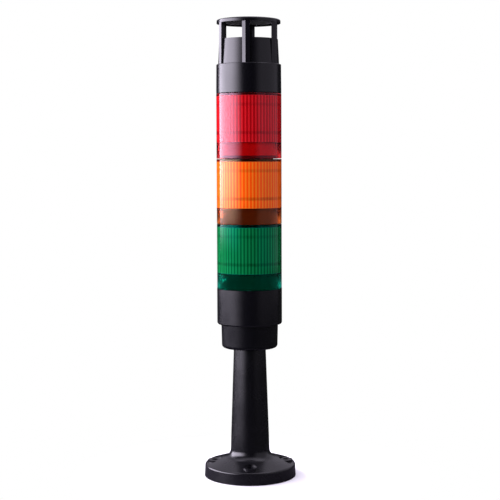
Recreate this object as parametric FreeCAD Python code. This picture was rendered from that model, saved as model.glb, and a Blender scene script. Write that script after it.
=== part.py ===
import FreeCAD, Part
import math
import os

# A modular signal tower on a pole: foot with pole, adapter cup, connection base, three light
# modules and a siren, each module locked on the one below by a bayonet.
# Millimetres. +Z is up, the origin is the centre of the foot's underside, -Y is the front.

Vector = FreeCAD.Vector
UP = Vector(0, 0, 1)
AXIS = Vector(0, 0, 0)

# ---- driving dimensions ----
GAP = 0.3                  # clearance between stacked modules
FIT = 0.05                 # radial clearance round a pin inside one module

FOOT_R = 50.0
FOOT_TOP_R = 49.4          # slight draft on the foot's rim
FOOT_RIM_Z = 13.0          # the flange's top is a cone from here ...
FOOT_HUB_Z = 22.0          # ... up to here, where the pole stands
FOOT_EDGE_FILLET = 2.0
FOOT_POLE_FILLET = 10.0
POLE_BOTTOM_R = 21.5
POLE_TOP_R = 17.4
POLE_TOP_Z = 141.2
POLE_BORE_R = 15.0         # straight cable entry in the foot
POLE_BORE_L = 16.0
POLE_TOP_BORE_R = 12.5
SCREW_PCD = 78.0
SCREW_HOLE_R = 3.25
SCREW_COUNT = 4
PAD_R = 7.5                # level pad round each screw hole, half sunk in the cone
PAD_Z = 16.8
GASKET_IN_R = 24.0
GASKET_OUT_R = 46.5
GASKET_T = 1.5

SPIGOT_R = 15.0            # threaded end of the pole above the cup's floor
SPIGOT_TOP_Z = 157.2
CUP_BOTTOM_R = 30.3
CUP_TOP_R = 30.9
CUP_CORNER_R = 3.5
CUP_FLOOR_T = 4.0
CUP_WALL = 3.0
WASHER_R = 20.5
WASHER_T = 1.0
NUT_R = 20.0
NUT_T = 6.0
NUT_NOTCH_IN_R = 18.0
NUT_NOTCH_W = 16.0         # degrees
NUT_NOTCH_COUNT = 4
CUP_BOSS_R = 3.6
CUP_BOSS_PCR = 24.2        # radius of the circle of bosses
CUP_BOSS_COUNT = 3
BASE_SCREW_R = 1.6
BASE_SCREW_L = 9.0         # below the base's underside
BASE_SCREW_HOLE = 10.0
BASE_SCREW_HEAD_R = 2.9
BASE_SCREW_HEAD_T = 2.2
SCREW_SLOT_HALF = 0.35     # half the width of a screwdriver slot
SCREW_SLOT_DEPTH = 0.8

BASE_Z = 167.6             # underside of the connection base
BASE_H = 38.8
BODY_R = 35.3              # outer radius of the base
BASE_LIP_IN = 0.9          # bevel of the base's lower edge
BASE_LIP_H = 1.3
BASE_FLOOR_T = 3.0
CABLE_HOLE_R = 12.0
BASE_LEDGE_W = 3.0         # ledge under the collar plate
BASE_LEDGE_T = 3.0

COLLAR_SCREW_PCR = 29.2    # radius of the circle of screws
COLLAR_SCREW_COUNT = 3
COLLAR_SCREW_R = 1.3
COLLAR_SCREW_L = 7.0       # below the collar plate
COLLAR_SCREW_HOLE = 8.0
COLLAR_SCREW_HEAD_R = 2.3
COLLAR_SCREW_HEAD_T = 1.4
COLLAR_BOSS_R = 3.0
TERMINAL_X = 16.5          # half the length of the terminal block
TERMINAL_Y0 = -25.5
TERMINAL_Y1 = -14.0
TERMINAL_H = 12.0
TERMINAL_COUNT = 6
TERMINAL_WELL_R = 1.9
TERMINAL_WELL_IN = 4.0     # from the strip's back face
TERMINAL_WELL_LOW = 5.0    # heights above the strip's underside
TERMINAL_STEP_LOW = 7.0
TERMINAL_STEP_IN = 4.0
TERMINAL_MOUTH_LOW = 2.0
TERMINAL_MOUTH_HALF = 1.6
TERMINAL_MOUTH_IN = 5.0
TERMINAL_SCREW_T = 4.0
CONTACT_POST_L = 12.0

MODULE_H = 70.0            # pitch of the light modules
LENS_R = 35.1
LENS_BORE_R = 32.3
RIB_COUNT = 60
RIB_DEPTH = 1.1
RIB_LOW = 17.5             # ribs run from here ...
RIB_HIGH = 66.5            # ... to here above a module's underside

SOCKET_R = 31.9
SOCKET_BORE_R = 26.5
SOCKET_BORE_H = 10.3
SOCKET_CEILING = 13.0
SOCKET_RIM_IN_R = 29.5
SOCKET_H = 17.3
SOCKET_FLANGE_H = 3.0
COLLAR_R = 26.0
COLLAR_IN_R = 23.6
COLLAR_H = 9.2             # height of the collar above the joint
COLLAR_PLATE_T = 3.2
LUG_IN_R = 24.7
LUG_W = 10.0               # degrees
LUG_LOW = 3.6
LUG_HIGH = 6.4
TWIST = 30.0               # turn from locked to free, degrees
SLOT_FLOOR_R = 24.3
SLOT_MARGIN = 1.5          # degrees each side of a lug
SLOT_LOW = 3.2
SLOT_HIGH = 6.8
LUG_COUNT = 3

SEAL_IN_R = 28.0
SEAL_OUT_R = 30.8
SEAL_TOP = 1.9
SEAL_BOTTOM = 0.1

CONTACT_COUNT = 6
CONTACT_PCR = 16.0
CONTACT_R = 1.2
CONTACT_PROUD = 1.0

BOARD_R = 24.0
BOARD_T = 1.6
LOWER_BOARD_Z = 26.5       # above a module's underside
UPPER_BOARD_Z = 56.2
COLUMN_R = 8.0
COLUMN_WALL = 1.5
LED_COUNT = 12
LED_SIZE = 3.0
LED_T = 2.0
LED_PCR = 21.8

SIREN_H = 81.0
SIREN_RING_TOP_R = 34.8
SIREN_SHOULDER = 31.0
SHOULDER_CHAMFER = 0.5
SHOULDER_UNDER = 4.0       # the ring's inside narrows from this far below the shoulder
DRUM_FOOT = 8.0            # ... and the drum's inside tapers from this far above it
DRUM_BOTTOM_R = 32.8
DRUM_TOP_R = 31.5
DRUM_TOP = 57.5
DRUM_WALL = 2.4
FIN_COUNT = 6
FIN_BOTTOM_R = 34.4
FIN_TOP_R = 34.0
FIN_FACE_FROM = -3.4       # across the fin, seen from outside: face from left ...
FIN_FACE_TO = 1.2          # ... to right
FIN_WING = -6.8            # the slanted flank runs out to the left
FIN_FLANK = 2.2            # radial depth of that flank
FIN_ROOT_TO = 1.5
FIN_IN_R = 29.8
FIN_TOP = 77.5             # above the siren's underside, inside the cap
CAP_R = 34.3
CAP_RIM_WALL = 2.0
CAP_RIM_LOW = 74.5
CAP_T = 2.2
CAP_EDGE_FILLET = 1.6
DOME_RISE = 2.8
LEDGE_Z = 34.5
LEDGE_T = 2.5
LEDGE_IN_R = 24.5
SOUNDER_R = 28.3
SOUNDER_BASE_T = 4.0
HORN_THROAT_R = 9.0
HORN_THROAT_WALL = 6.0
HORN_MOUTH_R = 25.0
HORN_MOUTH_WALL = 1.6
HORN_TOP = 55.0
MEMBRANE_T = 0.6
MEMBRANE_DISH = 0.8        # the diaphragm's middle stands this much higher
MEMBRANE_LIFT = 1.0        # above the ledge
MEMBRANE_RIM = 2.0
MAGNET_R = 16.5
MAGNET_H = 8.0
SOUNDER_SCREW_PCR = 26.6   # radius of the circle of screws
SOUNDER_SCREW_COUNT = 3
SOUNDER_SCREW_R = 1.1
SOUNDER_SCREW_L = 6.0
SOUNDER_SCREW_HEAD_R = 1.7
SOUNDER_SCREW_HEAD_T = 1.2
SIREN_BOARD_R = 31.0
SIREN_CONTACT_PROUD = 1.5
CAPACITOR_R = 3.2
CAPACITOR_PLACES = ((-23.0, 2.0), (-23.0, 10.0))
TALL_PART_H = 6.5
TRANSFORMER_BOX = (-7.0, 7.0, 18.5, 27.0)
CHIP_BOX = (-5.0, 5.0, -5.0, 5.0)
CHIP_H = 2.0
DIAL_R = 3.0
DIAL_CLEAR = 0.08
DIAL_H = 3.4
DIAL_PROUD = 1.4
DIAL_SLOT_W = 0.8
DIAL_BODY_W = 9.0
DIAL_BODY_H = 5.0
VOLUME_XY = (-12.5, -17.0)
TONE_XY = (12.5, -17.0)

GREEN_Z = BASE_Z + BASE_H
AMBER_Z = GREEN_Z + MODULE_H
RED_Z = AMBER_Z + MODULE_H
SIREN_Z = RED_Z + MODULE_H


# ---- helpers ----
def at(radius, degrees, z):
    """A point on a circle round the tower's axis."""
    angle = math.radians(degrees)
    return Vector(radius * math.cos(angle), radius * math.sin(angle), z)


def disc(radius, low, high, x=0.0, y=0.0):
    return Part.makeCylinder(radius, high - low, Vector(x, y, low))


def ring(inner, outer, low, high):
    return disc(outer, low, high).cut(disc(inner, low - 1, high + 1))


def box(x0, x1, y0, y1, z0, z1):
    return Part.makeBox(x1 - x0, y1 - y0, z1 - z0, Vector(x0, y0, z0))


def turn(edges_rz, degrees=360.0, start=0.0):
    """Revolve a closed outline of (r, z) points round the axis."""
    points = [Vector(r, 0, z) for r, z in edges_rz]
    face = Part.Face(Part.makePolygon(points + [points[0]]))
    face.rotate(AXIS, UP, start)
    return face.revolve(AXIS, UP, degrees)


def sector(inner, outer, low, high, centre, width):
    """A block of a ring, width degrees wide about the centre direction."""
    outline = [(inner, low), (outer, low), (outer, high), (inner, high)]
    return turn(outline, width, centre - width / 2)


def join(shapes):
    whole = shapes[0]
    if len(shapes) > 1:
        whole = whole.multiFuse(shapes[1:])
    return whole.removeSplitter()


def around(count, first=0.0):
    return [first + 360.0 / count * step for step in range(count)]


def save(name, shape):
    """Write one node; a list becomes a group of separate solids."""
    if isinstance(shape, list):
        shape = Part.makeCompound(shape)
    shape.exportStep("parts/" + name + ".step")


def is_circle(edge, radius, z):
    if edge.Degenerated or not isinstance(edge.Curve, Part.Circle):
        return False
    return abs(edge.Curve.Radius - radius) < 0.01 and abs(edge.Curve.Center.z - z) < 0.01


def contact_angles():
    return around(CONTACT_COUNT, 30.0)


def foot_screw_spots():
    return [at(SCREW_PCD / 2, degrees, 0) for degrees in around(SCREW_COUNT)]


def cup_boss_spots():
    return [at(CUP_BOSS_PCR, degrees, 0) for degrees in around(CUP_BOSS_COUNT, 90.0)]


def collar_screw_spots():
    return [at(COLLAR_SCREW_PCR, degrees, 0) for degrees in around(COLLAR_SCREW_COUNT, 30.0)]


def sounder_screw_spots():
    return [at(SOUNDER_SCREW_PCR, degrees, 0) for degrees in around(SOUNDER_SCREW_COUNT)]


def slotted_screw(spot, shank_r, tip, head_r, head_t, seat):
    """A screw whose head stands on the level seat, with a straight slot."""
    shank = disc(shank_r, tip, seat, spot.x, spot.y)
    head = disc(head_r, seat, seat + head_t, spot.x, spot.y)
    slot = box(spot.x - head_r - 1, spot.x + head_r + 1, spot.y - SCREW_SLOT_HALF, spot.y + SCREW_SLOT_HALF,
               seat + head_t - SCREW_SLOT_DEPTH, seat + head_t + 1)
    return shank.fuse(head).cut(slot)


# ---- foot, pole and cup ----
def make_foot_pole():
    """One moulding: conical flange with screw pads, filleted pole and threaded spigot."""
    flange = Part.makeCone(FOOT_R, FOOT_TOP_R, FOOT_RIM_Z)
    hub = Part.makeCone(FOOT_TOP_R, POLE_BOTTOM_R, FOOT_HUB_Z - FOOT_RIM_Z, Vector(0, 0, FOOT_RIM_Z))
    pole = Part.makeCone(POLE_BOTTOM_R, POLE_TOP_R, POLE_TOP_Z - FOOT_HUB_Z, Vector(0, 0, FOOT_HUB_Z))
    body = flange.fuse(hub).fuse(pole)
    root = [e for e in body.Edges if is_circle(e, POLE_BOTTOM_R, FOOT_HUB_Z)]
    body = body.makeFillet(FOOT_POLE_FILLET, root)
    rim = [e for e in body.Edges if is_circle(e, FOOT_TOP_R, FOOT_RIM_Z)]
    body = body.makeFillet(FOOT_EDGE_FILLET, rim)
    body = body.fuse(disc(SPIGOT_R, POLE_TOP_Z - 2, SPIGOT_TOP_Z))
    taper = Part.makeCone(POLE_BORE_R, POLE_TOP_BORE_R, POLE_TOP_Z - POLE_BORE_L,
                          Vector(0, 0, POLE_BORE_L))
    body = body.cut(disc(POLE_BORE_R, -1, POLE_BORE_L)).cut(taper)
    body = body.cut(disc(POLE_TOP_BORE_R, POLE_TOP_Z, SPIGOT_TOP_Z + 1))
    body = body.cut(ring(GASKET_IN_R, GASKET_OUT_R, -1, GASKET_T))
    for spot in foot_screw_spots():
        body = body.fuse(disc(PAD_R, GASKET_T + 1, PAD_Z, spot.x, spot.y))
        body = body.cut(disc(PAD_R, PAD_Z, FOOT_HUB_Z + 1, spot.x, spot.y))
        body = body.cut(disc(SCREW_HOLE_R, -1, FOOT_HUB_Z + 1, spot.x, spot.y))
    return body


def make_foot_gasket():
    gasket = ring(GASKET_IN_R, GASKET_OUT_R, 0, GASKET_T)
    for spot in foot_screw_spots():
        gasket = gasket.cut(disc(SCREW_HOLE_R, -1, GASKET_T + 1, spot.x, spot.y))
    return gasket


def make_cup():
    """Adapter cup between the slim pole and the wide base."""
    low = POLE_TOP_Z
    high = BASE_Z
    cup = Part.makeCone(CUP_BOTTOM_R, CUP_TOP_R, high - low, Vector(0, 0, low))
    corner = [e for e in cup.Edges if is_circle(e, CUP_BOTTOM_R, low)]
    cup = cup.makeFillet(CUP_CORNER_R, corner)
    cup = cup.cut(disc(CUP_BOTTOM_R - CUP_WALL, low + CUP_FLOOR_T, high + 1))
    for spot in cup_boss_spots():
        cup = cup.fuse(disc(CUP_BOSS_R, low + CUP_FLOOR_T - 1, high, spot.x, spot.y))
        cup = cup.cut(disc(BASE_SCREW_R, high - BASE_SCREW_HOLE, high + 1, spot.x, spot.y))
    return cup.cut(disc(SPIGOT_R, low - 1, low + CUP_FLOOR_T + 1)).removeSplitter()


def make_pole_nut():
    """Round lock nut with four spanner notches, on the pole's thread."""
    low = POLE_TOP_Z + CUP_FLOOR_T + WASHER_T
    nut = ring(SPIGOT_R, NUT_R, low, low + NUT_T)
    for degrees in around(NUT_NOTCH_COUNT, 45.0):
        notch = sector(NUT_NOTCH_IN_R, NUT_R + 1, low - 1, low + NUT_T + 1, degrees, NUT_NOTCH_W)
        nut = nut.cut(notch)
    return nut


def make_lock_washer():
    low = POLE_TOP_Z + CUP_FLOOR_T
    return ring(SPIGOT_R, WASHER_R, low, low + WASHER_T)


# ---- connection base ----
def make_base_housing():
    low = BASE_Z
    top = GREEN_Z - GAP
    outline = [(CABLE_HOLE_R, low), (BODY_R - BASE_LIP_IN, low), (BODY_R, low + BASE_LIP_H),
               (BODY_R, top), (LENS_BORE_R, top), (LENS_BORE_R, low + BASE_FLOOR_T),
               (CABLE_HOLE_R, low + BASE_FLOOR_T)]
    housing = turn(outline)
    under = top - COLLAR_PLATE_T
    housing = housing.fuse(ring(LENS_BORE_R - BASE_LEDGE_W, LENS_BORE_R, under - BASE_LEDGE_T, under))
    for spot in collar_screw_spots():
        housing = housing.fuse(disc(COLLAR_BOSS_R, low + BASE_FLOOR_T - 1, under, spot.x, spot.y))
        housing = housing.cut(disc(COLLAR_SCREW_R, under - COLLAR_SCREW_HOLE, top + 1, spot.x, spot.y))
    for spot in cup_boss_spots():
        housing = housing.cut(disc(BASE_SCREW_R + FIT, low - 1, low + BASE_FLOOR_T + 1, spot.x, spot.y))
    return housing.removeSplitter()


def make_base_screws():
    """Three pan-head screws that hold the base on the cup."""
    tip = BASE_Z - BASE_SCREW_L
    floor = BASE_Z + BASE_FLOOR_T
    return [slotted_screw(spot, BASE_SCREW_R, tip, BASE_SCREW_HEAD_R, BASE_SCREW_HEAD_T, floor)
            for spot in cup_boss_spots()]


def terminal_places():
    pitch = 2 * TERMINAL_X / TERMINAL_COUNT
    return [-TERMINAL_X + pitch * (step + 0.5) for step in range(TERMINAL_COUNT)]


def make_terminal_block():
    """Stepped terminal strip with a wire mouth and a screw well for each conductor."""
    floor = BASE_Z + BASE_FLOOR_T
    top = floor + TERMINAL_H
    block = box(-TERMINAL_X, TERMINAL_X, TERMINAL_Y0, TERMINAL_Y1, floor, top)
    front = TERMINAL_Y1 + 1
    block = block.cut(box(-TERMINAL_X - 1, TERMINAL_X + 1, TERMINAL_Y1 - TERMINAL_STEP_IN, front,
                          floor + TERMINAL_STEP_LOW, top + 1))
    well_y = TERMINAL_Y0 + TERMINAL_WELL_IN
    mouth_y = TERMINAL_Y1 - TERMINAL_MOUTH_IN
    for x in terminal_places():
        block = block.cut(disc(TERMINAL_WELL_R, floor + TERMINAL_WELL_LOW, top + 1, x, well_y))
        block = block.cut(box(x - TERMINAL_MOUTH_HALF, x + TERMINAL_MOUTH_HALF, mouth_y, front,
                              floor + TERMINAL_MOUTH_LOW, floor + TERMINAL_WELL_LOW))
    return block


def make_terminal_screws():
    low = BASE_Z + BASE_FLOOR_T + TERMINAL_WELL_LOW
    top = low + TERMINAL_SCREW_T
    y = TERMINAL_Y0 + TERMINAL_WELL_IN
    screws = []
    for x in terminal_places():
        slot = box(x - 3, x + 3, y - SCREW_SLOT_HALF, y + SCREW_SLOT_HALF, top - SCREW_SLOT_DEPTH, top + 1)
        screws.append(disc(TERMINAL_WELL_R - FIT, low, top, x, y).cut(slot))
    return screws


def make_base_contacts():
    """Six contact posts under the base's collar plate."""
    top = GREEN_Z - GAP + CONTACT_PROUD
    posts = []
    for degrees in contact_angles():
        spot = at(CONTACT_PCR, degrees, 0)
        posts.append(disc(CONTACT_R, top - CONTACT_POST_L, top, spot.x, spot.y))
    return posts


def make_collar_screws():
    """Three countersunk screws that hold the base's collar plate."""
    top = GREEN_Z - GAP
    tip = top - COLLAR_PLATE_T - COLLAR_SCREW_L
    seat = top - COLLAR_SCREW_HEAD_T
    return [slotted_screw(spot, COLLAR_SCREW_R, tip, COLLAR_SCREW_HEAD_R, COLLAR_SCREW_HEAD_T, seat)
            for spot in collar_screw_spots()]


# ---- what every module shares ----
def drill_contacts(shape, low, high):
    for degrees in contact_angles():
        spot = at(CONTACT_PCR, degrees, 0)
        shape = shape.cut(disc(CONTACT_R + FIT, low, high, spot.x, spot.y))
    return shape


def make_collar(joint_z):
    """Plate that closes a module's top, with the collar the next module turns on to."""
    top = joint_z - GAP
    plate = disc(LENS_BORE_R, top - COLLAR_PLATE_T, top)
    collar = ring(COLLAR_IN_R, COLLAR_R, top - 1, joint_z + COLLAR_H)
    body = plate.fuse(collar)
    half = LUG_W / 2 + SLOT_MARGIN
    for lug in around(LUG_COUNT):
        run = sector(SLOT_FLOOR_R, COLLAR_R + 1, joint_z + SLOT_LOW, joint_z + SLOT_HIGH,
                     lug + TWIST / 2, TWIST + 2 * half)
        mouth = sector(SLOT_FLOOR_R, COLLAR_R + 1, joint_z + SLOT_LOW, joint_z + COLLAR_H + 1,
                       lug + TWIST, 2 * half)
        body = body.cut(run).cut(mouth)
    return drill_contacts(body, top - COLLAR_PLATE_T - 1, top + 1).removeSplitter()


def make_base_collar():
    collar = make_collar(GREEN_Z)
    top = GREEN_Z - GAP
    for spot in collar_screw_spots():
        collar = collar.cut(disc(COLLAR_SCREW_R + FIT, top - COLLAR_PLATE_T - 1, top + 1, spot.x, spot.y))
        head_seat = top - COLLAR_SCREW_HEAD_T
        collar = collar.cut(disc(COLLAR_SCREW_HEAD_R + FIT, head_seat, top + 1, spot.x, spot.y))
    return collar


def make_socket(z):
    """Black foot of a module: the socket that turns on the collar below, with its lugs."""
    low = z + GAP
    outline = [(SOCKET_BORE_R, low), (LENS_BORE_R, low), (LENS_BORE_R, z + SOCKET_FLANGE_H),
               (SOCKET_R, z + SOCKET_FLANGE_H), (SOCKET_R, z + SOCKET_H), (SOCKET_RIM_IN_R, z + SOCKET_H),
               (SOCKET_RIM_IN_R, z + SOCKET_CEILING), (0, z + SOCKET_CEILING), (0, z + SOCKET_BORE_H),
               (SOCKET_BORE_R, z + SOCKET_BORE_H)]
    body = turn(outline)
    for lug in around(LUG_COUNT):
        body = body.fuse(sector(LUG_IN_R, SOCKET_BORE_R + 1, z + LUG_LOW, z + LUG_HIGH, lug, LUG_W))
    body = body.cut(ring(SEAL_IN_R, SEAL_OUT_R, z - 1, z + SEAL_TOP))
    return drill_contacts(body, z + SOCKET_BORE_H - 1, z + SOCKET_CEILING + 1).removeSplitter()


def make_seal(z):
    return ring(SEAL_IN_R, SEAL_OUT_R, z + SEAL_BOTTOM, z + SEAL_TOP)


def make_contacts(z, top):
    rods = []
    for degrees in contact_angles():
        spot = at(CONTACT_PCR, degrees, 0)
        rods.append(disc(CONTACT_R, z + CONTACT_PROUD, top, spot.x, spot.y))
    return rods


# ---- light modules ----
def rib_bore(z_low, z_high):
    """The space inside the ribs: a prism whose wall is a row of arcs bulging inwards."""
    step = 360.0 / RIB_COUNT
    arcs = []
    for start in around(RIB_COUNT):
        first = at(LENS_BORE_R, start, z_low)
        crest = at(LENS_BORE_R - RIB_DEPTH, start + step / 2, z_low)
        last = at(LENS_BORE_R, start + step, z_low)
        arcs.append(Part.Arc(first, crest, last).toShape())
    return Part.Face(Part.Wire(arcs)).extrude(Vector(0, 0, z_high - z_low))


def make_lens(z):
    lens = disc(LENS_R, z + GAP, z + MODULE_H - GAP)
    lens = lens.cut(disc(LENS_BORE_R, z, z + RIB_LOW))
    lens = lens.cut(disc(LENS_BORE_R, z + RIB_HIGH, z + MODULE_H))
    return lens.cut(rib_bore(z + RIB_LOW, z + RIB_HIGH))


def make_board(z):
    board = ring(COLUMN_R, BOARD_R, z, z + BOARD_T)
    return drill_contacts(board, z - 1, z + BOARD_T + 1)


def make_leds(z):
    """Both rings of side-looking light-emitting diodes of one module."""
    leds = []
    for board_z in (LOWER_BOARD_Z, UPPER_BOARD_Z):
        low = z + board_z + BOARD_T
        for degrees in around(LED_COUNT):
            half = LED_SIZE / 2
            led = box(LED_PCR - half, LED_PCR + half, -half, half, low, low + LED_T)
            led.rotate(AXIS, UP, degrees)
            leds.append(led)
    return leds


def make_column(z):
    """Hollow white column that holds the two boards and scatters their light."""
    return ring(COLUMN_R - COLUMN_WALL, COLUMN_R, z + SOCKET_CEILING, z + RIB_HIGH)


# ---- siren ----
def make_fin(z, degrees):
    """One fin: narrow outer face, steep right side and a slanted flank on its left."""
    wires = []
    for height, outer in ((SIREN_SHOULDER, FIN_BOTTOM_R), (FIN_TOP, FIN_TOP_R)):
        plan = [(outer, FIN_FACE_FROM), (outer, FIN_FACE_TO), (FIN_IN_R, FIN_ROOT_TO),
                (FIN_IN_R, FIN_FACE_FROM), (outer - FIN_FLANK, FIN_WING)]
        points = [Vector(r, across, z + height) for r, across in plan]
        wires.append(Part.makePolygon(points + [points[0]]))
    fin = Part.makeLoft(wires, True, True)
    fin.rotate(AXIS, UP, degrees)
    return fin


def make_siren_housing():
    """Ring, recessed tapered drum and six fins that carry the cap, in one moulding."""
    z = SIREN_Z
    shoulder = z + SIREN_SHOULDER
    outline = [(LENS_BORE_R, z + GAP), (LENS_R, z + GAP),
               (SIREN_RING_TOP_R, shoulder - SHOULDER_CHAMFER),
               (SIREN_RING_TOP_R - SHOULDER_CHAMFER, shoulder),
               (DRUM_BOTTOM_R, shoulder), (DRUM_TOP_R, z + DRUM_TOP),
               (DRUM_TOP_R - DRUM_WALL, z + DRUM_TOP), (DRUM_BOTTOM_R - DRUM_WALL, shoulder + DRUM_FOOT),
               (DRUM_BOTTOM_R - DRUM_WALL, z + LEDGE_Z + LEDGE_T), (LEDGE_IN_R, z + LEDGE_Z + LEDGE_T),
               (LEDGE_IN_R, z + LEDGE_Z), (DRUM_BOTTOM_R - DRUM_WALL, z + LEDGE_Z),
               (LENS_BORE_R, shoulder - SHOULDER_UNDER)]
    body = turn(outline)
    fins = [make_fin(z, degrees).cut(make_siren_cap()) for degrees in around(FIN_COUNT, 30.0)]
    body = join([body] + fins)
    for spot in sounder_screw_spots():
        body = body.cut(disc(SOUNDER_SCREW_R, z + LEDGE_Z - 1, z + LEDGE_Z + LEDGE_T + 1, spot.x, spot.y))
    return body


def make_siren_cap():
    """Shallow domed shell with a turned-down rim."""
    low = SIREN_Z + CAP_RIM_LOW
    top = SIREN_Z + SIREN_H
    sphere_r = (CAP_R ** 2 + DOME_RISE ** 2) / (2 * DOME_RISE)
    dome = Part.makeSphere(sphere_r, Vector(0, 0, top - sphere_r))
    cap = disc(CAP_R, low, top).common(dome)
    edge = [e for e in cap.Edges if is_circle(e, CAP_R, top - DOME_RISE)]
    cap = cap.makeFillet(CAP_EDGE_FILLET, edge)
    under = Part.makeSphere(sphere_r - CAP_T, Vector(0, 0, top - sphere_r))
    return cap.cut(disc(CAP_R - CAP_RIM_WALL, low - 1, top).common(under))


def make_sounder_frame():
    """Horn driver: a thick foot on the ledge and a mouth that opens upwards."""
    low = SIREN_Z + LEDGE_Z + LEDGE_T
    foot = low + SOUNDER_BASE_T
    top = SIREN_Z + HORN_TOP
    outline = [(HORN_THROAT_R, low), (SOUNDER_R, low), (SOUNDER_R, foot),
               (HORN_THROAT_R + HORN_THROAT_WALL, foot), (HORN_MOUTH_R + HORN_MOUTH_WALL, top),
               (HORN_MOUTH_R, top), (HORN_THROAT_R, foot + 1)]
    frame = turn(outline)
    for spot in sounder_screw_spots():
        frame = frame.cut(disc(SOUNDER_SCREW_R + FIT, low - 1, foot + 1, spot.x, spot.y))
    return frame


def make_sounder_membrane():
    """Dished diaphragm across the horn's throat."""
    low = SIREN_Z + LEDGE_Z + LEDGE_T + MEMBRANE_LIFT
    high = low + MEMBRANE_T
    rim = HORN_THROAT_R - MEMBRANE_RIM
    outline = [(0, low + MEMBRANE_DISH), (rim, low), (HORN_THROAT_R, low),
               (HORN_THROAT_R, high), (rim, high), (0, high + MEMBRANE_DISH)]
    return turn(outline)


def make_sounder_screws():
    seat = SIREN_Z + LEDGE_Z + LEDGE_T + SOUNDER_BASE_T
    return [slotted_screw(spot, SOUNDER_SCREW_R, seat - SOUNDER_SCREW_L, SOUNDER_SCREW_HEAD_R,
                          SOUNDER_SCREW_HEAD_T, seat)
            for spot in sounder_screw_spots()]


def make_magnet():
    """Driver magnet under the horn's throat."""
    low = SIREN_Z + LEDGE_Z + LEDGE_T
    return disc(MAGNET_R, low - MAGNET_H, low)


def siren_board_z():
    return SIREN_Z + SOCKET_H


def make_siren_board():
    low = siren_board_z()
    return drill_contacts(disc(SIREN_BOARD_R, low, low + BOARD_T), low - 1, low + BOARD_T + 1)


def make_siren_components():
    """Two capacitors, a transformer and an amplifier chip."""
    low = siren_board_z() + BOARD_T
    capacitors = [disc(CAPACITOR_R, low, low + TALL_PART_H, x, y) for x, y in CAPACITOR_PLACES]
    return capacitors + [box(*TRANSFORMER_BOX, low, low + TALL_PART_H), box(*CHIP_BOX, low, low + CHIP_H)]


def make_dial_body(place):
    """Square housing of a small rotary control, with a round pocket for its dial."""
    low = siren_board_z() + BOARD_T
    half = DIAL_BODY_W / 2
    x, y = place
    body = box(x - half, x + half, y - half, y + half, low, low + DIAL_BODY_H)
    return body.cut(disc(DIAL_R + DIAL_CLEAR, low + DIAL_BODY_H + DIAL_PROUD - DIAL_H - GAP,
                         low + DIAL_BODY_H + 1, x, y))


def make_dial(place):
    """Slotted dial that stands a little proud of its housing."""
    top = siren_board_z() + BOARD_T + DIAL_BODY_H + DIAL_PROUD
    x, y = place
    dial = disc(DIAL_R, top - DIAL_H, top, x, y)
    half = DIAL_SLOT_W / 2
    return dial.cut(box(x - DIAL_R - 1, x + DIAL_R * 0.6, y - half, y + half, top - 1, top + 1))


os.makedirs("parts", exist_ok=True)

save("foot_pole", make_foot_pole())
save("foot_gasket", make_foot_gasket())
save("adapter_cup", make_cup())
save("lock_washer", make_lock_washer())
save("pole_nut", make_pole_nut())

save("base_housing", make_base_housing())
save("base_screws", make_base_screws())
save("terminal_block", make_terminal_block())
save("terminal_screws", make_terminal_screws())
save("base_collar", make_base_collar())
save("collar_screws", make_collar_screws())
save("base_contacts", make_base_contacts())

for colour, module_z in (("green", GREEN_Z), ("amber", AMBER_Z), ("red", RED_Z)):
    joint_above = module_z + MODULE_H
    save(colour + "_lens", make_lens(module_z))
    save(colour + "_socket", make_socket(module_z))
    save(colour + "_seal", make_seal(module_z))
    save(colour + "_collar", make_collar(joint_above))
    save(colour + "_column", make_column(module_z))
    save(colour + "_lower_board", make_board(module_z + LOWER_BOARD_Z))
    save(colour + "_upper_board", make_board(module_z + UPPER_BOARD_Z))
    save(colour + "_leds", make_leds(module_z))
    save(colour + "_contacts", make_contacts(module_z, joint_above - GAP + CONTACT_PROUD))

save("siren_housing", make_siren_housing())
save("siren_cap", make_siren_cap())
save("siren_socket", make_socket(SIREN_Z))
save("siren_seal", make_seal(SIREN_Z))
save("siren_contacts", make_contacts(SIREN_Z, siren_board_z() + BOARD_T + SIREN_CONTACT_PROUD))
save("siren_board", make_siren_board())
save("siren_components", make_siren_components())
save("sounder_frame", make_sounder_frame())
save("sounder_membrane", make_sounder_membrane())
save("sounder_magnet", make_magnet())
save("sounder_screws", make_sounder_screws())
save("volume_body", make_dial_body(VOLUME_XY))
save("volume_dial", make_dial(VOLUME_XY))
save("tone_body", make_dial_body(TONE_XY))
save("tone_dial", make_dial(TONE_XY))
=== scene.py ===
import math

import bpy
from mathutils import Matrix, Vector


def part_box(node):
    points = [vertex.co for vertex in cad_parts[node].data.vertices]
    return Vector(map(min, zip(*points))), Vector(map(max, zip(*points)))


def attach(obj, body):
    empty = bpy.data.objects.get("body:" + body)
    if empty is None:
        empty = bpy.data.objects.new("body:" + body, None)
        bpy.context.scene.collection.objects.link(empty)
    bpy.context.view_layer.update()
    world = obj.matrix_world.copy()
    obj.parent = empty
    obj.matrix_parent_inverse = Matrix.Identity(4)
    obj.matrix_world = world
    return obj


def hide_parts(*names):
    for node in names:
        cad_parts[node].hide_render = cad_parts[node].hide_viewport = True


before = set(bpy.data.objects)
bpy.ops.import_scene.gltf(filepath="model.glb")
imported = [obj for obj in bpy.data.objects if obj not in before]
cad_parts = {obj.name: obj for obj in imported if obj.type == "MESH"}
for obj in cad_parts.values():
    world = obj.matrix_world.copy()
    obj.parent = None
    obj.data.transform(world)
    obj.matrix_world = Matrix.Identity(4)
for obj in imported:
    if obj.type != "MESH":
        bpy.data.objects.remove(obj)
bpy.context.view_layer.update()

# A modular signal tower: siren over red, amber and green light modules, a connection base,
# an adapter cup and a pole on a round foot. Metres, +Z up, -Y the front.

MM = 0.001
COLOURS = ("green", "amber", "red")


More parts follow.
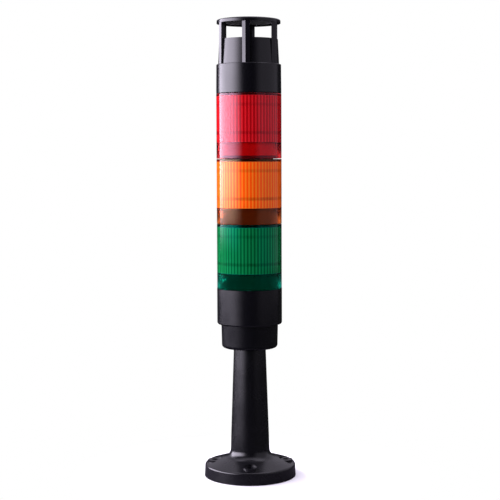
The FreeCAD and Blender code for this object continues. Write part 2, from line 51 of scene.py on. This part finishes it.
# ---------------------------------------------------------------- mesh tools
def clear_selection():
    if bpy.context.object and bpy.context.object.mode != "OBJECT":
        bpy.ops.object.mode_set(mode="OBJECT")
    bpy.ops.object.select_all(action="DESELECT")


def pick(piece):
    clear_selection()
    piece.select_set(True)
    bpy.context.view_layer.objects.active = piece


def edit(piece):
    pick(piece)
    bpy.ops.object.mode_set(mode="EDIT")


def done():
    bpy.ops.object.mode_set(mode="OBJECT")


def settle(piece):
    """Put a piece's place, turn and size into its mesh."""
    pick(piece)
    bpy.ops.object.transform_apply(location=True, rotation=True, scale=True)


def lathe(name, outline, segments):
    """A turned piece: a circle is extruded from point to point of a closed (r, z) outline in metres."""
    clear_selection()
    r0, z0 = outline[0]
    bpy.ops.mesh.primitive_circle_add(vertices=segments, radius=r0, location=(0, 0, z0))
    piece = bpy.context.object
    piece.name = name
    piece.data.name = name
    settle(piece)
    edit(piece)
    bpy.ops.mesh.select_mode(type="VERT")
    bpy.ops.mesh.select_all(action="SELECT")
    r, z = r0, z0
    for r_next, z_next in outline[1:]:
        bpy.ops.mesh.extrude_region_move(TRANSFORM_OT_translate={"value": (0, 0, z_next - z)})
        if abs(r_next - r) > 1e-9:
            scale = r_next / r
            bpy.ops.transform.resize(value=(scale, scale, 1), center_override=(0, 0, z_next))
        r, z = r_next, z_next
    bpy.ops.mesh.select_all(action="DESELECT")
    bpy.ops.mesh.select_mode(type="EDGE")
    done()
    last = len(piece.data.vertices) - segments
    for edge in piece.data.edges:
        a, b = edge.vertices
        edge.select = (a < segments and b < segments) or (a >= last and b >= last)
    edit(piece)
    bpy.ops.mesh.bridge_edge_loops()
    bpy.ops.mesh.select_all(action="SELECT")
    bpy.ops.mesh.normals_make_consistent(inside=False)
    done()
    return piece


def smooth(piece, degrees):
    pick(piece)
    bpy.ops.object.shade_smooth_by_angle(angle=math.radians(degrees))


# ---------------------------------------------------------------- material tools
def new_material(name):
    material = bpy.data.materials.new(name)
    material.use_nodes = True
    nodes = material.node_tree.nodes
    shader = nodes["Principled BSDF"]
    return material, nodes, material.node_tree.links, shader


def object_noise(nodes, links, scale):
    place = nodes.new("ShaderNodeTexCoord")
    noise = nodes.new("ShaderNodeTexNoise")
    noise.inputs["Scale"].default_value = scale
    noise.inputs["Detail"].default_value = 3.0
    links.new(place.outputs["Object"], noise.inputs["Vector"])
    return noise


def spread(nodes, links, source, low, high):
    """Map a 0 to 1 pattern on to the range low to high."""
    span = nodes.new("ShaderNodeMapRange")
    span.inputs["From Min"].default_value = 0.3
    span.inputs["From Max"].default_value = 0.7
    span.inputs["To Min"].default_value = low
    span.inputs["To Max"].default_value = high
    links.new(source, span.inputs["Value"])
    return span.outputs["Result"]


def add_bump(nodes, links, shader, noise, strength, distance):
    """Let a noise pattern raise the surface a little."""
    bump = nodes.new("ShaderNodeBump")
    bump.inputs["Strength"].default_value = strength
    bump.inputs["Distance"].default_value = distance
    links.new(noise.outputs["Fac"], bump.inputs["Height"])
    links.new(bump.outputs["Normal"], shader.inputs["Normal"])


def object_place(nodes, links):
    """The x, y and z of the point being shaded, in the piece's own coordinates."""
    place = nodes.new("ShaderNodeTexCoord")
    split = nodes.new("ShaderNodeSeparateXYZ")
    links.new(place.outputs["Object"], split.inputs[0])
    return split.outputs


GRAIN_SCALE = 2600.0
GRAIN_STRENGTH = 0.12
GRAIN_DEPTH = 0.04 * MM


def moulded(name, colour, rough_low, rough_high):
    """Moulded plastic: slightly uneven gloss, faint tone changes and a fine grain."""
    material, nodes, links, shader = new_material(name)
    patches = object_noise(nodes, links, 38.0)
    rough = spread(nodes, links, patches.outputs["Fac"], rough_low, rough_high)
    links.new(rough, shader.inputs["Roughness"])
    tone = nodes.new("ShaderNodeMix")
    tone.data_type = "RGBA"
    tone.inputs["A"].default_value = (*colour, 1)
    tone.inputs["B"].default_value = (*[c * 1.35 for c in colour], 1)
    links.new(object_noise(nodes, links, 120.0).outputs["Fac"], tone.inputs["Factor"])
    links.new(tone.outputs["Result"], shader.inputs["Base Color"])
    add_bump(nodes, links, shader, object_noise(nodes, links, GRAIN_SCALE), GRAIN_STRENGTH, GRAIN_DEPTH)
    return material


def plated(name, colour, rough):
    material, nodes, links, shader = new_material(name)
    shader.inputs["Metallic"].default_value = 1.0
    noise = object_noise(nodes, links, 900.0)
    uneven = spread(nodes, links, noise.outputs["Fac"], rough * 0.8, rough * 1.3)
    links.new(uneven, shader.inputs["Roughness"])
    tone = nodes.new("ShaderNodeMix")
    tone.data_type = "RGBA"
    tone.inputs["A"].default_value = (*colour, 1)
    tone.inputs["B"].default_value = (*[c * 0.8 for c in colour], 1)
    links.new(noise.outputs["Fac"], tone.inputs["Factor"])
    links.new(tone.outputs["Result"], shader.inputs["Base Color"])
    return material


def maths(nodes, links, operation, *values):
    node = nodes.new("ShaderNodeMath")
    node.operation = operation
    for number, value in enumerate(values):
        if isinstance(value, (int, float)):
            node.inputs[number].default_value = value
        else:
            links.new(value, node.inputs[number])
    return node.outputs[0]


def ramp(nodes, links, source, start, end, low=0.0, high=1.0):
    """Smooth step from low at start to high at end."""
    node = nodes.new("ShaderNodeMapRange")
    node.interpolation_type = "SMOOTHSTEP"
    node.inputs["From Min"].default_value = start
    node.inputs["From Max"].default_value = end
    node.inputs["To Min"].default_value = low
    node.inputs["To Max"].default_value = high
    links.new(source, node.inputs["Value"])
    return node.outputs["Result"]


def blend(nodes, links, factor, first, second):
    """Mix two colours; each is a tuple or a socket."""
    node = nodes.new("ShaderNodeMix")
    node.data_type = "RGBA"
    links.new(factor, node.inputs["Factor"])
    for socket, value in (("A", first), ("B", second)):
        if isinstance(value, tuple):
            node.inputs[socket].default_value = (*value, 1)
        else:
            links.new(value, node.inputs[socket])
    return node.outputs["Result"]


RIBS = 60
RIBBED_FROM = (16.8 * MM, 17.6 * MM)      # above the lens's lower edge: the milky zone fades in ...
RIBBED_TO = (66.0 * MM, 67.2 * MM)        # ... and out again
BOARD_SHADES = ((27.3 * MM, 0.55), (57.0 * MM, 0.30))   # height of each board's painted shade, and its strength
# Widths of the painted shade band around each board's height.
SHADE_CORE = 0.6 * MM
SHADE_EDGE = 2.6 * MM
MILKINESS = 0.88


def coloured_lens(name, low, clear, groove, rib, gleam):
    """Coloured polycarbonate: clear in its smooth bands, milky where it is ribbed, with upright lines of
    painted light between the ribs and painted shade on them, and painted shade where the circuit boards
    stand close behind."""
    material, nodes, links, shader = new_material(name)
    x, y, z = object_place(nodes, links)
    rise = maths(nodes, links, "SUBTRACT", z, low)
    # Painted light and shade: colour lines, lighter between the ribs and darker on them, stand for the
    # light the ribs bend.
    turn = maths(nodes, links, "ARCTAN2", y, x)
    wave = maths(nodes, links, "COSINE", maths(nodes, links, "MULTIPLY", turn, float(RIBS)))
    line = ramp(nodes, links, wave, -0.7, 0.9)
    ribbed = maths(nodes, links, "MULTIPLY", ramp(nodes, links, rise, *RIBBED_FROM),
                   ramp(nodes, links, rise, *RIBBED_TO, 1.0, 0.0))
    body = blend(nodes, links, line, rib, groove)
    # Painted shade: a darker, patchy band in the lens colour at each board's height.
    for height, strength in BOARD_SHADES:
        away = maths(nodes, links, "ABSOLUTE", maths(nodes, links, "SUBTRACT", rise, height))
        shade = ramp(nodes, links, away, SHADE_CORE, SHADE_EDGE, strength, 0.0)
        patch = object_noise(nodes, links, 90.0)
        shade = maths(nodes, links, "MULTIPLY", shade, spread(nodes, links, patch.outputs["Fac"], 0.4, 1.0))
        body = blend(nodes, links, shade, body, tuple(c * 0.12 for c in rib))
    links.new(blend(nodes, links, ribbed, clear, body), shader.inputs["Base Color"])
    links.new(maths(nodes, links, "SUBTRACT", 1.0, maths(nodes, links, "MULTIPLY", ribbed, MILKINESS)),
              shader.inputs["Transmission Weight"])
    shader.inputs["IOR"].default_value = 1.5
    shader.inputs["Specular Tint"].default_value = (*gleam, 1)
    noise = object_noise(nodes, links, 60.0)
    links.new(spread(nodes, links, noise.outputs["Fac"], 0.05, 0.10), shader.inputs["Roughness"])
    add_bump(nodes, links, shader, noise, 0.05, 0.3 * MM)
    return material


FLANGE_HEIGHT = 3.0 * MM


def socket_plastic(name, colour, low):
    """A module's socket: coloured body on a black lower flange."""
    material = moulded(name, colour, 0.42, 0.5)
    nodes, links = material.node_tree.nodes, material.node_tree.links
    shader = nodes["Principled BSDF"]
    body = shader.inputs["Base Color"].links[0].from_socket
    z = object_place(nodes, links)["Z"]
    flange = ramp(nodes, links, z, low + FLANGE_HEIGHT, low + FLANGE_HEIGHT + 0.4 * MM, 1.0, 0.0)
    links.new(blend(nodes, links, flange, body, (0.004, 0.003, 0.004)), shader.inputs["Base Color"])
    return material


CAP_RADIUS = 34.3 * MM
CAP_DOME_RISE = 2.8 * MM
CAP_HALFWAY = 1.1 * MM        # below the dome's surface; anything lower is the underside
CAP_HOLLOW_RADIUS = 31.9 * MM
# Pale colour of the painted reflection on the cap's underside.
UNDERSIDE_PAINTED_REFLECTION = (0.62, 0.60, 0.64)


def cap_plastic():
    """The siren cap's black plastic, with a painted reflection on its underside: the underside is coloured
    pale to stand for the white surroundings it mirrors.
    """
    material = moulded("cap_plastic", (0.0022, 0.0021, 0.0036), 0.20, 0.27)
    nodes, links = material.node_tree.nodes, material.node_tree.links
    shader = nodes["Principled BSDF"]
    outside = shader.inputs["Base Color"].links[0].from_socket
    x, y, z = object_place(nodes, links)
    radius = maths(nodes, links, "SQRT", maths(nodes, links, "ADD", maths(nodes, links, "MULTIPLY", x, x),
                                               maths(nodes, links, "MULTIPLY", y, y)))
    share = maths(nodes, links, "DIVIDE", radius, CAP_RADIUS)
    domed = maths(nodes, links, "MULTIPLY", maths(nodes, links, "MULTIPLY", share, share), CAP_DOME_RISE)
    level = maths(nodes, links, "ADD", z, domed)
    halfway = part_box("siren_cap")[1][2] - CAP_HALFWAY
    below = ramp(nodes, links, level, halfway - 0.1 * MM, halfway + 0.1 * MM, 1.0, 0.0)
    inside = ramp(nodes, links, radius, CAP_HOLLOW_RADIUS - 0.1 * MM,
                  CAP_HOLLOW_RADIUS + 0.1 * MM, 1.0, 0.0)
    # Where the painted reflection goes: the underside inside the rim.
    painted_reflection_area = maths(nodes, links, "MULTIPLY", below, inside)
    links.new(blend(nodes, links, painted_reflection_area, outside, UNDERSIDE_PAINTED_REFLECTION), shader.inputs["Base Color"])
    return material


BLACK = moulded("black_plastic", (0.0022, 0.0021, 0.0036), 0.20, 0.27)
POLE = moulded("pole_plastic", (0.0022, 0.0021, 0.0032), 0.22, 0.30)
SOCKET = moulded("socket_plastic", (0.012, 0.012, 0.013), 0.42, 0.5)
SOCKETS = {"green": SOCKET, "amber": SOCKET,
           "red": socket_plastic("red_socket_plastic", (0.62, 0.03, 0.04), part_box("red_socket")[0][2])}
RUBBER = moulded("seal_rubber", (0.012, 0.012, 0.012), 0.6, 0.8)
WHITE = moulded("white_plastic", (0.75, 0.75, 0.72), 0.4, 0.5)
BOARD = moulded("circuit_board", (0.01, 0.07, 0.03), 0.35, 0.45)
EPOXY = moulded("led_epoxy", (0.75, 0.72, 0.5), 0.15, 0.25)
GREY = moulded("terminal_plastic", (0.2, 0.21, 0.21), 0.4, 0.5)
PARTS = moulded("component_plastic", (0.03, 0.03, 0.035), 0.35, 0.45)
DIAL = moulded("dial_plastic", (0.6, 0.6, 0.55), 0.35, 0.45)
FILM = moulded("membrane_film", (0.3, 0.28, 0.22), 0.35, 0.5)
FERRITE = moulded("magnet_iron", (0.05, 0.05, 0.055), 0.45, 0.6)
BRASS = plated("contact_brass", (0.72, 0.5, 0.2), 0.25)
ZINC = plated("zinc_steel", (0.6, 0.61, 0.62), 0.28)
# For each colour: clear bands, lines between the ribs (painted light), ribs (painted shade), and the tint
# of its reflections.
LENS_SHADES = {
    "green": ((0.004, 0.40, 0.28), (0.004, 0.21, 0.055), (0.0, 0.085, 0.022), (0.0, 1.0, 0.75)),
    "amber": ((0.90, 0.20, 0.04), (1.0, 0.22, 0.014), (1.0, 0.075, 0.001), (1.0, 0.72, 0.42)),
    "red": ((0.95, 0.04, 0.05), (0.72, 0.010, 0.016), (0.36, 0.001, 0.004), (1.0, 0.62, 0.78)),
}
LENSES = {colour: coloured_lens(colour + "_lens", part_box(colour + "_lens")[0][2], *shades)
          for colour, shades in LENS_SHADES.items()}
CAP = cap_plastic()


def dress(node, material):
    """Give a CAD node its finish."""
    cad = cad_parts[node]
    cad.data.materials.clear()
    cad.data.materials.append(material)


# ---------------------------------------------------------------- lenses
RIB_STEPS = 8
RIB_DEPTH = 1.1 * MM
RIB_FOOT = 17.2 * MM          # ribs start this far above the lens's lower edge
RIB_HEAD = 3.2 * MM           # ... and end this far below its upper edge
LENS_WALL = 2.6 * MM


def make_lens(colour):
    """Smooth tube whose inside carries a row of upright half-round ribs with rounded ends."""
    low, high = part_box(colour + "_lens")
    outer = high[0]
    inner = outer - LENS_WALL
    bottom, top = low[2], high[2]
    foot = bottom + RIB_FOOT
    head = top - RIB_HEAD
    swell = [(0.0, 0.0), (0.5 * MM, 0.55), (1.3 * MM, 0.85), (2.4 * MM, 1.0)]
    ladder = [(foot + rise, full) for rise, full in swell]
    ladder += [(head - rise, full) for rise, full in reversed(swell)]
    edge = 0.25 * MM
    outline = [(outer - edge, bottom), (outer, bottom + edge), (outer, bottom + 2 * edge),
               (outer, top - 2 * edge), (outer, top - edge), (outer - edge, top), (inner, top)]
    outline += [(inner, z) for z, full in reversed(ladder)] + [(inner, bottom)]
    lens = lathe(colour + "_lens_tube", outline, RIBS * RIB_STEPS)
    edit(lens)
    bpy.ops.mesh.select_mode(type="VERT")
    for z, full in ladder:
        if full == 0.0:
            continue
        for step in range(1, RIB_STEPS // 2 + 1):
            bulge = math.sin(math.pi * step / RIB_STEPS) ** 0.7
            phases = {step, RIB_STEPS - step}
            bpy.ops.mesh.select_all(action="DESELECT")
            done()
            for vertex in lens.data.vertices:
                co = vertex.co
                if abs(co.z - z) > 1e-6 or co.xy.length > inner + 1e-6:
                    continue
                turn = math.atan2(co.y, co.x) / math.tau * RIBS * RIB_STEPS
                vertex.select = round(turn) % RIB_STEPS in phases
            edit(lens)
            scale = (inner - RIB_DEPTH * bulge * full) / inner
            bpy.ops.transform.resize(value=(scale, scale, 1), center_override=(0, 0, z))
    done()
    smooth(lens, 50)
    lens.data.materials.append(LENSES[colour])
    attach(lens, colour + "_module")
    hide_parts(colour + "_lens")
    return lens


for colour in COLOURS:
    make_lens(colour)
    dress(colour + "_socket", SOCKETS[colour])
    dress(colour + "_seal", RUBBER)
    dress(colour + "_collar", BLACK)
    dress(colour + "_column", WHITE)
    dress(colour + "_lower_board", BOARD)
    dress(colour + "_upper_board", BOARD)
    dress(colour + "_leds", EPOXY)
    dress(colour + "_contacts", BRASS)

for node in ("adapter_cup", "base_housing", "base_collar", "siren_housing",
             "sounder_frame"):
    dress(node, BLACK)
dress("siren_cap", CAP)
dress("siren_socket", SOCKET)
dress("foot_pole", POLE)
for node in ("foot_gasket", "siren_seal"):
    dress(node, RUBBER)
for node in ("lock_washer", "pole_nut", "base_screws", "terminal_screws", "collar_screws",
             "sounder_screws"):
    dress(node, ZINC)
for node in ("base_contacts", "siren_contacts"):
    dress(node, BRASS)
for node in ("siren_components", "volume_body", "tone_body"):
    dress(node, PARTS)
for node in ("volume_dial", "tone_dial"):
    dress(node, DIAL)
dress("terminal_block", GREY)
dress("siren_board", BOARD)
dress("sounder_membrane", FILM)
dress("sounder_magnet", FERRITE)


# ---------------------------------------------------------------- camera
CAMERA_AWAY = 1.3408
CAMERA_HEIGHT = 0.3473
CAMERA_RIGHT = 0.00065
CAMERA_DOWN = 4.257           # degrees
CAMERA_ROLL = -0.221          # degrees
LENS_MM = 89.05

camera_data = bpy.data.cameras.new("camera")
camera_data.lens = LENS_MM
camera_data.sensor_width = 36.0
camera = bpy.data.objects.new("camera", camera_data)
bpy.context.scene.collection.objects.link(camera)
tilt = Matrix.Rotation(math.radians(90 - CAMERA_DOWN), 4, "X")
roll = Matrix.Rotation(math.radians(CAMERA_ROLL), 4, "Z")
camera.matrix_world = Matrix.Translation((CAMERA_RIGHT, -CAMERA_AWAY, CAMERA_HEIGHT)) @ tilt @ roll
bpy.context.scene.camera = camera


# ---------------------------------------------------------------- floor and light
def make_studio_light():
    """White surroundings to look at; for reflections a strong softbox on the left, a weak one on the
    right, a white wall high up behind and dark flags between them."""
    world = bpy.data.worlds.new("studio")
    bpy.context.scene.world = world
    world.use_nodes = True
    nodes = world.node_tree.nodes
    links = world.node_tree.links
    nodes.clear()
    out = nodes.new("ShaderNodeOutputWorld")
    place = nodes.new("ShaderNodeTexCoord")
    split = nodes.new("ShaderNodeSeparateXYZ")
    links.new(place.outputs["Generated"], split.inputs[0])
    x, y, z = split.outputs
    back = maths(nodes, links, "MULTIPLY", y, -1.0)
    turn = maths(nodes, links, "ARCTAN2", x, back)
    degrees = maths(nodes, links, "MULTIPLY", turn, 180 / math.pi)
    lift = maths(nodes, links, "MULTIPLY", maths(nodes, links, "ARCSINE", z), 180 / math.pi)

    def patch(*ramps):
        """Multiply smooth steps, given as (source, start, end, low, high), into one patch of light."""
        whole = ramp(nodes, links, *ramps[0])
        for step in ramps[1:]:
            whole = maths(nodes, links, "MULTIPLY", whole, ramp(nodes, links, *step))
        return whole

    left = patch((degrees, -129, -125), (degrees, -70, -20, 1.0, 0.0),
                 (lift, -4.6, -0.6), (lift, 24, 40, 1.0, 0.0))
    right = patch((degrees, 18, 45), (degrees, 118, 124, 1.0, 0.0), (lift, -20, -4))
    wall = patch((maths(nodes, links, "ABSOLUTE", degrees), 105, 122), (lift, 9, 16))
    above = patch((lift, 45, 70))
    path = nodes.new("ShaderNodeLightPath")
    fill = path.outputs["Is Diffuse Ray"]
    strengths = ((left, 10.0), (right, 0.45), (wall, 0.6), (above, 1.2), (fill, 0.7))
    total = 0.02
    for part, strength in strengths:
        total = maths(nodes, links, "ADD", maths(nodes, links, "MULTIPLY", part, strength), total)
    lit = nodes.new("ShaderNodeBackground")
    links.new(total, lit.inputs["Strength"])
    lit.inputs["Color"].default_value = (0.90, 0.84, 1.0, 1)
    seen = nodes.new("ShaderNodeBackground")
    seen.inputs["Color"].default_value = (1, 1, 1, 1)
    mix = nodes.new("ShaderNodeMixShader")
    straight = maths(nodes, links, "MAXIMUM", path.outputs["Is Camera Ray"],
                     path.outputs["Is Transmission Ray"])
    links.new(straight, mix.inputs["Fac"])
    links.new(lit.outputs[0], mix.inputs[1])
    links.new(seen.outputs[0], mix.inputs[2])
    links.new(mix.outputs[0], out.inputs["Surface"])


def make_floor():
    bpy.ops.mesh.primitive_circle_add(vertices=128, radius=2.5, fill_type="NGON", location=(0, 0, -0.0002))
    floor = bpy.context.object
    floor.name = "studio_floor"
    material, nodes, links, shader = new_material("studio_floor")
    path = nodes.new("ShaderNodeLightPath")
    links.new(blend(nodes, links, path.outputs["Is Glossy Ray"], (0.86, 0.86, 0.86), (0.06, 0.055, 0.07)),
              shader.inputs["Base Color"])
    shader.inputs["Roughness"].default_value = 0.9
    shader.inputs["Specular IOR Level"].default_value = 0.0
    white = nodes.new("ShaderNodeEmission")
    links.new(ramp(nodes, links, path.outputs["Is Camera Ray"], 0, 1, 0.03, 1.0), white.inputs["Strength"])
    place = nodes.new("ShaderNodeTexCoord")
    length = nodes.new("ShaderNodeVectorMath")
    length.operation = "LENGTH"
    links.new(place.outputs["Object"], length.inputs[0])
    fade = ramp(nodes, links, length.outputs["Value"], 0.085, 0.20)
    mix = nodes.new("ShaderNodeMixShader")
    links.new(fade, mix.inputs["Fac"])
    links.new(shader.outputs[0], mix.inputs[1])
    links.new(white.outputs[0], mix.inputs[2])
    links.new(mix.outputs[0], nodes["Material Output"].inputs["Surface"])
    floor.data.materials.append(material)


def make_lamp():
    """Broad lamp above and behind on the left, for the floor and its soft shadow."""
    data = bpy.data.lights.new("overhead_lamp", "AREA")
    data.energy = 13.0
    data.shape = "DISK"
    data.size = 0.5
    lamp = bpy.data.objects.new("overhead_lamp", data)
    bpy.context.scene.collection.objects.link(lamp)
    lamp.visible_glossy = False
    place = Vector((-0.85, 0.6, 0.85))
    turn = (Vector((0, 0, 0)) - place).to_track_quat("-Z", "Y").to_matrix().to_4x4()
    lamp.matrix_world = Matrix.Translation(place) @ turn


make_studio_light()
make_floor()
make_lamp()
bpy.context.scene.view_settings.view_transform = "Standard"
bpy.context.scene.view_settings.look = "None"
